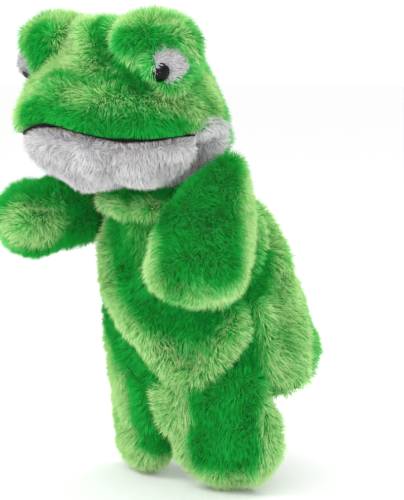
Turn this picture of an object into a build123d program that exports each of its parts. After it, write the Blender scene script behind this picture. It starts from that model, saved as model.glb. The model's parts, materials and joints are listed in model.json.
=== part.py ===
"""Plush frog sleeve puppet: a lined body sleeve, a hollow head with a moving mouth,
stuffed arms and legs. Frame: origin at the centre of the arm opening, +X to the frog's
left, the frog faces -Y, +Z up. Millimetres. Plush pieces are as thick as the cloth
with its pile."""
from build123d import *
from math import cos, radians, sin
import os

# ---- driving dimensions -----------------------------------------------------------
PLUSH = 6.0          # plush cloth with its pile
LINING = 1.4         # woven lining cloth
SEAM_GAP = 0.4       # between layers of one body
MOVE_GAP = 0.6       # between bodies that move

LEAN = 19.0          # the body axis leans forward by this many degrees
# body sleeve sections: distance up the body axis, set back, half width, half depth
TORSO = [(0, 2, 68, 64), (50, 3, 62, 57.5), (95, 2, 53.5, 49), (124, 0, 40, 35)]
FRONT_HEM = 18.0     # the front panel ends this far up the axis, above the legs
HEM_DEPTH = 13.0     # plush turned in at the opening

NECK = [(124.6, 0, 38.5, 33.5), (130, 0, 40.5, 35.5), (136, 0, 37, 32.5)]
NECK_TOP = 136.0

LIP_Z = 155.0        # plane of the closed mouth
HINGE_Y = -75.0      # back of the mouth
HEAD_BACK_Y = -17.0
FUNNEL_HALF = 59.0   # half width of the back of the head at the lips
NAPE_Y = -42.0       # seam between the nape and the cheeks
CHEEK_INNER_X = 24.0
# upper head sections: height, centre in Y, half width, half length
HEAD = [
    (155, -78, 63, 61),
    (166, -78, 63, 61),
    (176, -77, 59.5, 56.5),
    (187, -75.5, 53.5, 49.5),
    (198, -74, 46, 40.5),
    (210, -74, 37, 31),
    (219, -74, 18, 15),
]
# lower head sections, from the lips down to the chin
BOWL = [
    (155, -78, 61, 59),
    (148, -79, 59, 56.5),
    (141, -80, 54.5, 51.5),
    (131, -80, 45, 42.5),
    (124, -80, 27, 25),
]
LIFT_RANGE = 22.0    # how far the upper head opens, degrees
DROP_RANGE = 16.0    # how far the jaw opens, degrees
HEAD_REAR_LEAN = 12.0
LEAN_MARGIN = 2.0    # the gussets hold this many degrees more than the mouth opens
CROWN_SEAM_X = 23.0  # seams between the top panel and the side panels

BULGE_R = 25.0       # plush dome over each eye
BULGE_AT = (42.5, -87.5, 203.0)
EYE_DIR = Vector(0.56, -0.60, -0.57).normalized()
WHITE_DIR = Vector(0.60, -0.49, -0.63).normalized()
WHITE_R = 16.5       # white patch round the eye
EYE_R = 6.4          # safety eye dome
EYE_SINK = 2.4       # the dome's seat lies this deep in the plush
SHANK_R = 1.8
WASHER_R = 6.0
WASHER_THICK = 1.4
WASHER_BACK = 3.4    # from the inside of the plush to the washer's far face
PLAY = 0.1           # shank in its hole

BOARD = 1.8          # stiff mouth board
BOARD_FRONT_GAP = 1.2        # the mouth boards and linings start this far past the hinge
STRIP_WIDTH = 108.0          # cloth strip along the back of the mouth
STRIP_HALF_HEIGHT = 2.6
POCKET_HALF = (40.0, 9.0)    # finger pocket, half width and half height
POCKET_START_Y = -79.0
POCKET_END_Y = -109.0
POCKET_TAPER = 7.0
THUMB_HALF = (16.0, 6.5)
THUMB_START_Y = -77.0
THUMB_END_Y = -108.0
THUMB_TAPER = 4.0
POCKET_WAY_IN = 30.0         # room kept free behind a pocket

# arm sections along the arm from the shoulder: distance, half width, half thickness
ARM = [
    (-9, 18, 11),
    (0, 24, 15),
    (17, 29, 19.5),
    (35, 31, 22),
    (48, 28.5, 20.5),
    (55, 20, 14.5),
    (58, 10, 7.5),
]
SHOULDER = (54.5, -60.5, 112.0)
ARM_DIR = Vector(0.17, -0.50, -0.85).normalized()
ARM_WIDE = Vector(0.707, 0.707, 0).normalized()
RIGHT_ARM_RAISE = 38.0

LEG_AT = (36.0, -26.0)
LEG_WIDE = Vector(0.82, 0.57, 0).normalized()
LEG_HALF = 33.0
LEG_THICK = 26.0
LEG_TOP = -2.0
LEG_BOTTOM = -60.0

REACH = 800.0        # half spaces for cutting are this large

AXIS_UP = Vector(0, -sin(radians(LEAN)), cos(radians(LEAN)))
AXIS_FRONT = Vector(0, -cos(radians(LEAN)), -sin(radians(LEAN)))


# ---- planes -------------------------------------------------------------------------
def axis_plane(distance):
    """Plane square to the body axis, this far above the arm opening."""
    return Plane(origin=AXIS_UP * distance, x_dir=(1, 0, 0), z_dir=AXIS_UP)


def fan_plane(lean, offset=0.0):
    """Plane through the mouth's hinge line, leaning back from upright by lean degrees;
    its normal points to the front. Offset moves it to the front."""
    normal = Vector(0, -cos(radians(lean)), sin(radians(lean)))
    return Plane(origin=Vector(0, HINGE_Y, LIP_Z) + normal * offset, x_dir=(1, 0, 0), z_dir=normal)


SIDE_SEAM = Plane(origin=(0, 0, 0), x_dir=(1, 0, 0), z_dir=AXIS_FRONT)


# ---- shared shapes --------------------------------------------------------------------
def save(name, part):
    """Label one piece and write its STEP file."""
    part.label = name
    os.makedirs("parts", exist_ok=True)
    export_step(part, f"parts/{name}.step")


def mirrored(part):
    """The same piece on the frog's other side."""
    return mirror(part, about=Plane.YZ)


def body_tube(sections, outer_inset, inner_inset):
    """Tube along the body axis between two insets of the same sections."""
    with BuildPart() as tube:
        for inset, mode in ((outer_inset, Mode.ADD), (inner_inset, Mode.SUBTRACT)):
            for distance, set_back, half_x, half_y in sections:
                with BuildSketch(axis_plane(distance)):
                    with Locations((0, set_back)):
                        Ellipse(half_x - inset, half_y - inset)
            loft(mode=mode)
    return tube.part


def dome(sections, inset):
    """Solid through level ellipses; an inset also draws its far end in."""
    near_z = sections[0][0]
    height = sections[-1][0] - near_z
    shrink = (abs(height) - inset) / abs(height)
    with BuildPart() as solid:
        for z, y, half_x, half_y in sections:
            with BuildSketch(Plane((0, y, near_z + (z - near_z) * shrink))):
                Ellipse(half_x - inset, half_y - inset)
        loft()
    return solid.part


def kept(part, plane):
    """The piece on the side that the plane's normal points to."""
    with BuildPart() as cut:
        with BuildSketch(plane):
            Rectangle(REACH, REACH)
        extrude(amount=REACH)
        add(part, mode=Mode.INTERSECT)
    return cut.part


def flipped(plane):
    """The same plane, facing the other way."""
    return Plane(origin=plane.origin, x_dir=plane.x_dir, z_dir=-plane.z_dir)


def minus(part, *tools):
    """The piece with each tool cut away."""
    with BuildPart() as cut:
        add(part)
        for tool in tools:
            add(tool, mode=Mode.SUBTRACT)
    return cut.part


def common(part, tool):
    """What the two solids share."""
    with BuildPart() as shared:
        add(part)
        add(tool, mode=Mode.INTERSECT)
    return shared.part


def rod(at, direction, start, end, radius):
    """Cylinder along a direction, between two distances from a point."""
    plane = Plane(origin=Vector(*at) + direction * start, z_dir=direction)
    with BuildPart() as bar:
        with BuildSketch(plane):
            Circle(radius)
        extrude(amount=end - start)
    return bar.part


def ball(at, radius):
    """Solid sphere."""
    with BuildPart() as sphere:
        with Locations(at):
            Sphere(radius)
    return sphere.part


def pocket_solid(halves, z, mouth_y, end_y, taper, grow):
    """Tapering block that runs forward from its mouth, grown on every side but the mouth."""
    half_wide, half_high = halves
    with BuildPart() as block:
        with BuildSketch(Plane((0, mouth_y, z), x_dir=(1, 0, 0), z_dir=(0, -1, 0))):
            RectangleRounded(2 * (half_wide + grow), 2 * (half_high + grow), half_high * 0.8 + grow)
        extrude(amount=mouth_y - end_y + grow, taper=taper)
    return block.part


def pocket(halves, z, mouth_y, end_y, taper):
    """Cloth pocket open to the back, and the room it takes up in the filling."""
    hollow = pocket_solid(halves, z, mouth_y, end_y, taper, 0)
    cloth = minus(pocket_solid(halves, z, mouth_y, end_y, taper, LINING), hollow)
    way_in = pocket_solid(halves, z, mouth_y + POCKET_WAY_IN, mouth_y - 1, 0, LINING + SEAM_GAP)
    with BuildPart() as room:
        add(pocket_solid(halves, z, mouth_y, end_y, taper, LINING + SEAM_GAP))
        add(way_in)
    return cloth, room.part


# ---- body sleeve -----------------------------------------------------------------------
def make_sleeve():
    cover = body_tube(TORSO, 0, PLUSH)
    front = kept(kept(cover, SIDE_SEAM), axis_plane(FRONT_HEM))
    back = kept(cover, flipped(SIDE_SEAM))
    save("body_front_cover", front)
    save("body_back_cover", back)

    lining = body_tube(TORSO, PLUSH + SEAM_GAP, PLUSH + SEAM_GAP + LINING)
    lining_front = kept(kept(lining, SIDE_SEAM), axis_plane(FRONT_HEM + HEM_DEPTH + SEAM_GAP))
    lining_back = kept(kept(lining, flipped(SIDE_SEAM)), axis_plane(HEM_DEPTH + SEAM_GAP))
    with BuildPart() as sleeve_lining:
        add(lining_front)
        add(lining_back)
    save("sleeve_lining", sleeve_lining.part)

    hem = body_tube(TORSO, PLUSH + SEAM_GAP, PLUSH + SEAM_GAP + PLUSH / 2)
    hem_front = kept(kept(hem, SIDE_SEAM), axis_plane(FRONT_HEM))
    save("hem_band_front", kept(hem_front, flipped(axis_plane(FRONT_HEM + HEM_DEPTH))))
    hem_back = kept(hem, flipped(SIDE_SEAM))
    save("hem_band_back", kept(hem_back, flipped(axis_plane(HEM_DEPTH))))


# ---- neck --------------------------------------------------------------------------------
def make_neck():
    save("neck_cover", body_tube(NECK, 0, PLUSH))
    save("neck_lining", body_tube(NECK, PLUSH + SEAM_GAP, PLUSH + SEAM_GAP + LINING))


# ---- upper head --------------------------------------------------------------------------
def make_upper_head():
    rear = fan_plane(HEAD_REAR_LEAN, MOVE_GAP)
    lining_z = LIP_Z + MOVE_GAP
    board_z = lining_z + LINING + SEAM_GAP
    fill_z = board_z + BOARD + SEAM_GAP
    above_lining = Plane((0, 0, lining_z + LINING + SEAM_GAP / 2))
    outer = kept(kept(dome(HEAD, 0), rear), above_lining)
    inner = dome(HEAD, PLUSH)
    side = minus(kept(outer, Plane((CROWN_SEAM_X, 0, 0), z_dir=(1, 0, 0))), inner)
    save("head_cover_left", side)
    save("head_cover_right", mirrored(side))
    middle = kept(outer, Plane((CROWN_SEAM_X, 0, 0), z_dir=(-1, 0, 0)))
    save("head_cover_top", minus(kept(middle, Plane((-CROWN_SEAM_X, 0, 0), z_dir=(1, 0, 0))), inner))

    pocket_z = fill_z + LINING + SEAM_GAP + POCKET_HALF[1]
    cloth, room = pocket(POCKET_HALF, pocket_z, POCKET_START_Y, POCKET_END_Y, POCKET_TAPER)
    save("finger_pocket", cloth)
    filling = kept(kept(dome(HEAD, PLUSH + SEAM_GAP), rear), Plane((0, 0, fill_z)))
    save("head_stuffing", minus(filling, room))

    front_half = Plane((0, HINGE_Y - BOARD_FRONT_GAP, 0), z_dir=(0, -1, 0))
    with BuildPart() as lining_disc:
        with BuildSketch(Plane((0, HEAD[0][1], lining_z))):
            Ellipse(HEAD[0][2] - 1, HEAD[0][3] - 1)
        extrude(amount=LINING)
    save("upper_mouth_lining", kept(lining_disc.part, front_half))
    with BuildPart() as board_disc:
        with BuildSketch(Plane((0, HEAD[0][1], board_z))):
            Ellipse(HEAD[0][2] - PLUSH - 1, HEAD[0][3] - PLUSH - 1)
        extrude(amount=BOARD)
    save("upper_mouth_board", kept(board_disc.part, front_half))


# ---- eyes ------------------------------------------------------------------------------------
def make_eyes():
    head_core = dome(HEAD, -SEAM_GAP)
    patch_rod = rod(BULGE_AT, WHITE_DIR, 4, BULGE_R + 6, WHITE_R)
    patch_hole = rod(BULGE_AT, WHITE_DIR, 4, BULGE_R + 6, WHITE_R + SEAM_GAP)
    shank_hole = rod(BULGE_AT, EYE_DIR, 4, BULGE_R + 4, SHANK_R + PLAY)
    shell = minus(ball(BULGE_AT, BULGE_R), ball(BULGE_AT, BULGE_R - PLUSH), head_core)
    washer_near = BULGE_R - PLUSH - WASHER_BACK
    dome_seat = BULGE_R - EYE_SINK
    dome_sphere_at = Vector(*BULGE_AT) + EYE_DIR * (dome_seat - 1.0)
    eye_room = ball(dome_sphere_at, EYE_R + SEAM_GAP)

    cover = minus(shell, patch_hole, shank_hole, eye_room)
    white = minus(common(shell, patch_rod), shank_hole, eye_room)
    washer_room = rod(BULGE_AT, EYE_DIR, washer_near - SEAM_GAP, BULGE_R, WASHER_R + SEAM_GAP)
    filling = minus(ball(BULGE_AT, BULGE_R - PLUSH - SEAM_GAP), head_core, washer_room, shank_hole)

    with BuildPart() as eye:
        add(ball(dome_sphere_at, EYE_R))
        split(bisect_by=Plane(origin=Vector(*BULGE_AT) + EYE_DIR * dome_seat, z_dir=EYE_DIR), keep=Keep.TOP)
        add(rod(BULGE_AT, EYE_DIR, washer_near - 4, dome_seat, SHANK_R))
    washer = minus(
        rod(BULGE_AT, EYE_DIR, washer_near, washer_near + WASHER_THICK, WASHER_R),
        rod(BULGE_AT, EYE_DIR, washer_near - 1, washer_near + 3, SHANK_R + PLAY / 2),
    )
    pieces = {
        "eye_bulge_cover": cover,
        "eye_white": white,
        "eye_bulge_stuffing": filling,
        "eye": eye.part,
        "eye_washer": washer,
    }
    for name, part in pieces.items():
        save(f"{name}_left", part)
        save(f"{name}_right", mirrored(part))


# ---- back of the head ------------------------------------------------------------------------
def funnel(inset):
    """Solid that widens from the neck seam to the back half of the head."""
    half_x, half_y = NECK[-1][2:]
    with BuildPart() as solid:
        with BuildSketch(axis_plane(NECK_TOP + MOVE_GAP)):
            Ellipse(half_x - inset, half_y - inset)
        with BuildSketch(Plane((0, (HINGE_Y + HEAD_BACK_Y) / 2, LIP_Z))):
            Ellipse(FUNNEL_HALF - inset, (HEAD_BACK_Y - HINGE_Y) / 2 - inset)
        loft()
    return solid.part


def make_back_head():
    upper = minus(dome(HEAD, 0), dome(HEAD, PLUSH))
    open_lean = HEAD_REAR_LEAN + LIFT_RANGE + LEAN_MARGIN
    upper_back = kept(upper, flipped(fan_plane(open_lean)))
    behind_head = kept(upper, flipped(fan_plane(HEAD_REAR_LEAN)))
    save("back_head_cover", upper_back)
    save("crown_gusset", kept(behind_head, fan_plane(open_lean, MOVE_GAP)))

    drop_lean = -(DROP_RANGE + LEAN_MARGIN)
    lower_back = kept(minus(funnel(0), funnel(PLUSH)), flipped(fan_plane(drop_lean)))
    rear_panel = Plane((0, NAPE_Y, 0), z_dir=(0, 1, 0))
    save("nape_cover", kept(lower_back, rear_panel))

    sides = kept(lower_back, flipped(rear_panel))
    cheek = kept(sides, Plane((CHEEK_INNER_X, 0, 0), z_dir=(1, 0, 0)))
    save("cheek_left", cheek)
    save("cheek_right", mirrored(cheek))

    bowl_wall = minus(dome(BOWL, 0), dome(BOWL, PLUSH))
    behind_chin = kept(bowl_wall, flipped(fan_plane(0)))
    save("throat_gusset", kept(behind_chin, fan_plane(drop_lean, MOVE_GAP)))

    with BuildPart() as strip:
        with BuildSketch(Plane((0, HINGE_Y + LINING, LIP_Z))):
            Rectangle(STRIP_WIDTH, LINING)
        extrude(amount=STRIP_HALF_HEIGHT, both=True)
    save("mouth_hinge_strip", strip.part)


# ---- jaw ---------------------------------------------------------------------------------------
def make_jaw():
    rear = fan_plane(0, MOVE_GAP)
    lining_top = LIP_Z - MOVE_GAP
    board_top = lining_top - LINING - SEAM_GAP
    fill_top = board_top - BOARD - SEAM_GAP
    below_lining = Plane((0, 0, board_top + SEAM_GAP / 2), z_dir=(0, 0, -1))
    outer = kept(kept(dome(BOWL, 0), rear), below_lining)
    save("chin_cover", minus(outer, dome(BOWL, PLUSH)))

    pocket_z = fill_top - LINING - SEAM_GAP - THUMB_HALF[1]
    cloth, room = pocket(THUMB_HALF, pocket_z, THUMB_START_Y, THUMB_END_Y, THUMB_TAPER)
    save("thumb_pocket", cloth)
    filling = kept(kept(dome(BOWL, PLUSH + SEAM_GAP), rear), Plane((0, 0, fill_top), z_dir=(0, 0, -1)))
    save("chin_stuffing", minus(filling, room))

    front_half = Plane((0, HINGE_Y - BOARD_FRONT_GAP, 0), z_dir=(0, -1, 0))
    with BuildPart() as lining_disc:
        with BuildSketch(Plane((0, BOWL[0][1], lining_top - LINING))):
            Ellipse(BOWL[0][2] - 1, BOWL[0][3] - 1)
        extrude(amount=LINING)
    save("lower_mouth_lining", kept(lining_disc.part, front_half))
    with BuildPart() as board_disc:
        with BuildSketch(Plane((0, BOWL[0][1], board_top - BOARD))):
            Ellipse(BOWL[0][2] - PLUSH - 3, BOWL[0][3] - PLUSH - 3)
        extrude(amount=BOARD)
    save("lower_mouth_board", kept(board_disc.part, front_half))


# ---- arms --------------------------------------------------------------------------------------
def limb(sections, origin, along, wide, inset):
    """Stuffed limb along a direction; the inset one stays open at the shoulder."""
    start = sections[0][0]
    length = sections[-1][0] - start
    shrink = (length - inset) / length
    with BuildPart() as solid:
        for distance, half_w, half_t in sections:
            centre = Vector(*origin) + along * (start + (distance - start) * shrink)
            with BuildSketch(Plane(origin=centre, x_dir=wide, z_dir=along)):
                Ellipse(half_w - inset * 0.9, half_t - inset * 0.9)
        loft()
    return solid.part


def make_arms():
    outer = limb(ARM, SHOULDER, ARM_DIR, ARM_WIDE, 0)
    cover = minus(outer, limb(ARM, SHOULDER, ARM_DIR, ARM_WIDE, PLUSH))
    filling = limb(ARM, SHOULDER, ARM_DIR, ARM_WIDE, PLUSH + 2 * SEAM_GAP)
    save("arm_cover_left", cover)
    save("arm_stuffing_left", filling)
    right_hinge = Axis((-SHOULDER[0], SHOULDER[1], SHOULDER[2]), (-ARM_WIDE.X, ARM_WIDE.Y, 0))
    save("arm_cover_right", mirrored(cover).rotate(right_hinge, RIGHT_ARM_RAISE))
    save("arm_stuffing_right", mirrored(filling).rotate(right_hinge, RIGHT_ARM_RAISE))


# ---- legs --------------------------------------------------------------------------------------
def leg_pad(inset):
    """Flat pad with a round foot end, in a plane turned to the side."""
    half = LEG_HALF - inset
    thick = LEG_THICK - 2 * inset
    top = LEG_TOP - inset
    bottom = LEG_BOTTOM + inset
    normal = LEG_WIDE.cross(Vector(0, 0, 1))
    plane = Plane(origin=(LEG_AT[0], LEG_AT[1], 0), x_dir=LEG_WIDE, z_dir=normal)
    with BuildPart() as pad:
        with BuildSketch(plane) as outline:
            with Locations((0, (top + bottom) / 2)):
                Rectangle(2 * half, top - bottom)
            corners = outline.vertices().group_by(Axis.Z)
            fillet(corners[0], half * 0.82)
            fillet(corners[-1], half * 0.4)
        extrude(amount=thick / 2, both=True)
        rims = pad.faces().filter_by(Axis(plane.origin, normal)).edges()
        fillet(rims, thick * 0.44)
    return pad.part


def make_legs():
    cover = minus(leg_pad(0), leg_pad(PLUSH))
    filling = leg_pad(PLUSH + SEAM_GAP)
    for name, part in {"leg_cover": cover, "leg_stuffing": filling}.items():
        save(f"{name}_left", part)
        save(f"{name}_right", mirrored(part))


make_sleeve()
make_neck()
make_upper_head()
make_eyes()
make_back_head()
make_jaw()
make_arms()
make_legs()
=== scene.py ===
"""Plush frog hand puppet: skins, pile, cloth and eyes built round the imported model.
Metres, in the frame of the CAD: the frog faces -Y, +X is its left, +Z is up."""
import json
from math import cos, radians, sin

import bmesh
import bpy
import numpy as np
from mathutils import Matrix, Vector
from mathutils.bvhtree import BVHTree


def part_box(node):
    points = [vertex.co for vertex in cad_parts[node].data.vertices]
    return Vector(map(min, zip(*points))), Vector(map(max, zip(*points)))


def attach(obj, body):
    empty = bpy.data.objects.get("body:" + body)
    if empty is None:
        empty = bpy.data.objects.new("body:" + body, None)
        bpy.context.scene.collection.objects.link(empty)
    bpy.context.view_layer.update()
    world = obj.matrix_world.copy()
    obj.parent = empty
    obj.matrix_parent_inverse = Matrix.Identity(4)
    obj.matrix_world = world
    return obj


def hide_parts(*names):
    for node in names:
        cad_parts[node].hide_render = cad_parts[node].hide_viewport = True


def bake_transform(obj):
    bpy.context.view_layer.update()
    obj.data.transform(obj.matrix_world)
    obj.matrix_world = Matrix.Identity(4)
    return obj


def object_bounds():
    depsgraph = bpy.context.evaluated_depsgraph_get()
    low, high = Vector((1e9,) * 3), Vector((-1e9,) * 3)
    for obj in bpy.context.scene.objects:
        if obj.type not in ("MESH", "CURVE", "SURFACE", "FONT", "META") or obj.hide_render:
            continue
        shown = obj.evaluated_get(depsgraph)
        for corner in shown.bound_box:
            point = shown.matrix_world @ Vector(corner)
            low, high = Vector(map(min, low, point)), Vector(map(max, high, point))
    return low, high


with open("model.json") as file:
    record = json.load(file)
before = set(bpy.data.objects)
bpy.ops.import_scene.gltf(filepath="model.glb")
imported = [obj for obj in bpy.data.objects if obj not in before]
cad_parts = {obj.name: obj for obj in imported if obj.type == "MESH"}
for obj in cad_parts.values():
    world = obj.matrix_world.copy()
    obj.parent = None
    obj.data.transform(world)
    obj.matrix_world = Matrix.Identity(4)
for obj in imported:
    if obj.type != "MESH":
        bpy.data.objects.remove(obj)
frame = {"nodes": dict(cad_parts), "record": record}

cad_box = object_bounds()

MM = 0.001
JOINTS = {joint["name"]: joint for joint in frame["record"]["behaviour"]["joints"]}
HINGE = np.array(JOINTS["mouth_lift"]["pos_m"])
AXIS = np.array(JOINTS["head_turn"]["axis"])
SIDE = np.array([1.0, 0.0, 0.0])
REAR = np.cross(AXIS, SIDE)

PILE = 5 * MM  # the skins lie this far inside the CAD's outer face
BACKING = 1.4 * MM  # woven backing of the plush
OUTER_REACH = 200 * MM  # rays towards the CAD start this far out


# ---- colours and materials ----
def linear(red, green, blue):
    """Display values from 0 to 255 as linear light."""
    values = np.array([red, green, blue]) / 255
    return [*np.where(values < 0.04045, values / 12.92, ((values + 0.055) / 1.055) ** 2.4), 1.0]


def node_of(nodes, kind, **values):
    made = nodes.new(kind)
    for name, value in values.items():
        made.inputs[name.replace("_", " ")].default_value = value
    return made


def principled(name, colour, roughness, sheen=0.0, sheen_tint=(1, 1, 1, 1)):
    """A new material with one Principled shader."""
    material = bpy.data.materials.new(name)
    material.use_nodes = True
    shader = material.node_tree.nodes["Principled BSDF"]
    values = {
        "Base Color": colour, "Roughness": roughness, "Specular IOR Level": 0.25,
        "Sheen Weight": sheen, "Sheen Roughness": 0.45, "Sheen Tint": sheen_tint,
    }
    for key, value in values.items():
        shader.inputs[key].default_value = value
    return material, material.node_tree, shader


def noise(tree, scale, detail=4.0):
    """Noise in the object's own space."""
    place = tree.nodes.new("ShaderNodeTexCoord")
    texture = node_of(tree.nodes, "ShaderNodeTexNoise", Scale=scale, Detail=detail)
    tree.links.new(place.outputs["Object"], texture.inputs["Vector"])
    return texture.outputs["Fac"]


def between(tree, fac, low, high):
    """A colour from low to high as fac runs over its middle."""
    ramp = tree.nodes.new("ShaderNodeValToRGB")
    for element, place, colour in zip(ramp.color_ramp.elements, (0.32, 0.68), (low, high)):
        element.position, element.color = place, colour
    tree.links.new(fac, ramp.inputs["Fac"])
    return ramp.outputs["Color"]


def mottled(tree, shader, scale, dark, colour, detail=4.0):
    """The shader's colour varies between two with noise."""
    colours = between(tree, noise(tree, scale, detail), dark, colour)
    tree.links.new(colours, shader.inputs["Base Color"])


def bumpy(tree, shader, height, strength, distance):
    bump = node_of(tree.nodes, "ShaderNodeBump", Strength=strength, Distance=distance)
    tree.links.new(height, bump.inputs["Height"])
    tree.links.new(bump.outputs["Normal"], shader.inputs["Normal"])


def rough_between(tree, shader, fac, low, high):
    spread = tree.nodes.new("ShaderNodeMapRange")
    spread.inputs["To Min"].default_value = low
    spread.inputs["To Max"].default_value = high
    tree.links.new(fac, spread.inputs["Value"])
    tree.links.new(spread.outputs["Result"], shader.inputs["Roughness"])


def plush_backing(name, colour, dark):
    """Knitted ground of the plush, seen between the tufts."""
    material, tree, shader = principled(name, colour, 0.9, 0.4, colour)
    mottled(tree, shader, 220, dark, colour)
    bumpy(tree, shader, noise(tree, 1400), 0.6, 0.8 * MM)
    return material


def fibres_of(plush, **parts):
    """The pile's materials: a dark, middle and light copy of each part of a fibre, which carry the pile's
    painted shade and painted light along with its random tone; each tip is lighter than the part below it,
    a painted sheen.
    """
    made = []
    for part, shades in parts.items():
        for i, shade in enumerate(shades):
            colour = linear(*shade)
            tint = [min(1.0, 0.35 + c) for c in colour[:3]] + [1.0]
            material, tree, shader = principled(f"fibre_{plush}_{part}_{i}", colour, 0.6, 0.35, tint)
            rough_between(tree, shader, noise(tree, 500), 0.5, 0.8)
            made.append(material)
    return made


def woven(name, colour, dark, threads):
    """Plain weave: two sets of threads at right angles, with a slightly uneven colour."""
    material, tree, shader = principled(name, colour, 0.85, 0.2, colour)
    place = tree.nodes.new("ShaderNodeTexCoord")
    weave = tree.nodes.new("ShaderNodeMath")
    weave.operation = "MULTIPLY"
    for i, direction in enumerate(("X", "Z")):
        wave = node_of(tree.nodes, "ShaderNodeTexWave", Scale=threads, Distortion=1.2)
        wave.bands_direction = direction
        tree.links.new(place.outputs["Object"], wave.inputs["Vector"])
        tree.links.new(wave.outputs["Fac"], weave.inputs[i])
    mottled(tree, shader, 90, dark, colour)
    bumpy(tree, shader, weave.outputs["Value"], 0.5, 0.3 * MM)
    return material


def pressed_card(name, colour, dark, scale):
    material, tree, shader = principled(name, colour, 0.95)
    mottled(tree, shader, scale, dark, colour, 8.0)
    bumpy(tree, shader, noise(tree, scale * 2, 8.0), 0.8, 1.0 * MM)
    return material


def moulded(name, colour, dark, low, high, gloss):
    """Moulded plastic with fine wear in its gloss."""
    material, tree, shader = principled(name, colour, low)
    shader.inputs["Specular IOR Level"].default_value = gloss
    mottled(tree, shader, 160, dark, colour)
    rough_between(tree, shader, noise(tree, 300), low, high)
    return material


green_backing = plush_backing("plush_backing_green", linear(4, 168, 52), linear(3, 126, 38))
white_backing = plush_backing("plush_backing_white", linear(190, 187, 191), linear(160, 156, 162))
green_fibres = fibres_of(
    "green", mid=[(2, 180, 60), (60, 206, 92), (136, 222, 126)],
    tip=[(8, 194, 70), (120, 220, 120), (200, 238, 164)],
)
white_fibres = fibres_of(
    "white", mid=[(214, 212, 214), (222, 220, 222), (230, 229, 230)],
    tip=[(230, 229, 231), (238, 237, 238), (246, 246, 246)],
)
black_cloth = woven("cloth_black", linear(18, 18, 19), linear(8, 8, 9), 700)
pale_cloth = woven("cloth_lining", linear(226, 224, 216), linear(206, 203, 194), 600)
card = pressed_card("board_card", linear(196, 182, 152), linear(170, 155, 124), 400)
eye_black = moulded("eye_plastic_black", linear(6, 6, 8), linear(3, 3, 4), 0.10, 0.18, 0.16)
washer_pale = moulded("washer_plastic", linear(222, 220, 210), linear(208, 205, 194), 0.35, 0.5, 0.5)

CAD_LOOKS = {
    "mouth_hinge_strip": black_cloth,
    "finger_pocket": pale_cloth,
    "thumb_pocket": pale_cloth,
    "neck_lining": pale_cloth,
    "eye_left": eye_black,
    "eye_right": eye_black,
    "eye_washer_left": washer_pale,
    "eye_washer_right": washer_pale,
}
for node_name, look in CAD_LOOKS.items():
    mesh = frame["nodes"][node_name].data
    mesh.materials.clear()
    mesh.materials.append(look)


# ---- numbers on surfaces ----
def unit(vectors):
    vectors = np.asarray(vectors, float)
    return vectors / np.maximum(np.linalg.norm(vectors, axis=-1, keepdims=True), 1e-9)


def waves(points, length, seed, count=14):
    """A smooth field between about -1 and 1 that varies over the given length."""
    rng = np.random.default_rng(seed)
    ways = unit(rng.normal(size=(count, 3))) * rng.uniform(0.6, 1.5, (count, 1))
    phases = rng.uniform(0, 2 * np.pi, count)
    return np.sin(points @ ways.T * (2 * np.pi / length) + phases).sum(1) * (1.3 / np.sqrt(count))


def smooth_step(x, low, high):
    t = np.clip((x - low) / (high - low), 0, 1)
    return t * t * (3 - 2 * t)


def distance_to_line(points, line):
    """Distance from each point to a line through the given points."""
    line = np.asarray(line, float)
    if len(line) == 1:
        return np.linalg.norm(points - line[0], axis=1)
    best = np.full(len(points), np.inf)
    for a, b in zip(line[:-1], line[1:]):
        along = b - a
        t = np.clip((points - a) @ along / (along @ along), 0, 1)
        best = np.minimum(best, np.linalg.norm(points - a - t[:, None] * along, axis=1))
    return best


def folded(points, folds):
    """(height, tint) that the folds add at each point; the tint is painted light above 0 and painted shade
    below 0 in the pile's colour. A fold is (line, width, height, tint).
    """
    height, tint = np.zeros(len(points)), np.zeros(len(points))
    for line, width, rise, shade in folds:
        near = np.exp(-((distance_to_line(points, line) / width) ** 2))
        height += rise * near
        tint += shade * near
    return height, tint


def rounded(points, edges, times):
    """Points drawn halfway to the mean of their neighbours, this many times."""
    count = np.bincount(edges.ravel(), minlength=len(points))[:, None]
    for _ in range(times):
        total = np.zeros_like(points)
        for column in range(points.shape[1]):
            total[:, column] = np.bincount(edges[:, 0], points[edges[:, 1], column], len(points))
            total[:, column] += np.bincount(edges[:, 1], points[edges[:, 0], column], len(points))
        points = (points + total / count) / 2
    return points


def normals_of(points, faces):
    """Vertex normals of a mesh of triangles or quads."""
    a, b, c, last = (points[faces[:, i]] for i in (0, 1, 2, -1))
    cross = np.cross(b - a, c - a) if faces.shape[1] == 3 else np.cross(c - a, last - b)
    total = np.zeros_like(points)
    for column in range(faces.shape[1]):
        for axis in range(3):
            total[:, axis] += np.bincount(faces[:, column], cross[:, axis], len(points))
    return unit(total)


def sides_of(faces):
    """Every side of every face, as pairs of point numbers in the face's order."""
    corners = faces.shape[1]
    return np.concatenate([faces[:, [i, (i + 1) % corners]] for i in range(corners)])


def edges_of(faces):
    """Every edge once, as pairs of point numbers."""
    return np.unique(np.sort(sides_of(faces), axis=1), axis=0)


def grid_faces(rows, columns):
    """Quads of a grid whose points run row by row."""
    grid = np.arange(rows * columns).reshape(rows, columns)
    corners = [grid[:-1, :-1], grid[:-1, 1:], grid[1:, 1:], grid[1:, :-1]]
    return np.stack(corners, axis=-1).reshape(-1, 4)


def trimmed(points, faces):
    """The points that the faces use, and the faces with their new numbers."""
    used = np.unique(faces)
    number = np.full(len(points), -1)
    number[used] = np.arange(len(used))
    return points[used], number[faces]


def deeper(points, faces, depth):
    """The points moved this far in from their surface."""
    return points - normals_of(points, faces) * depth


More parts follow.
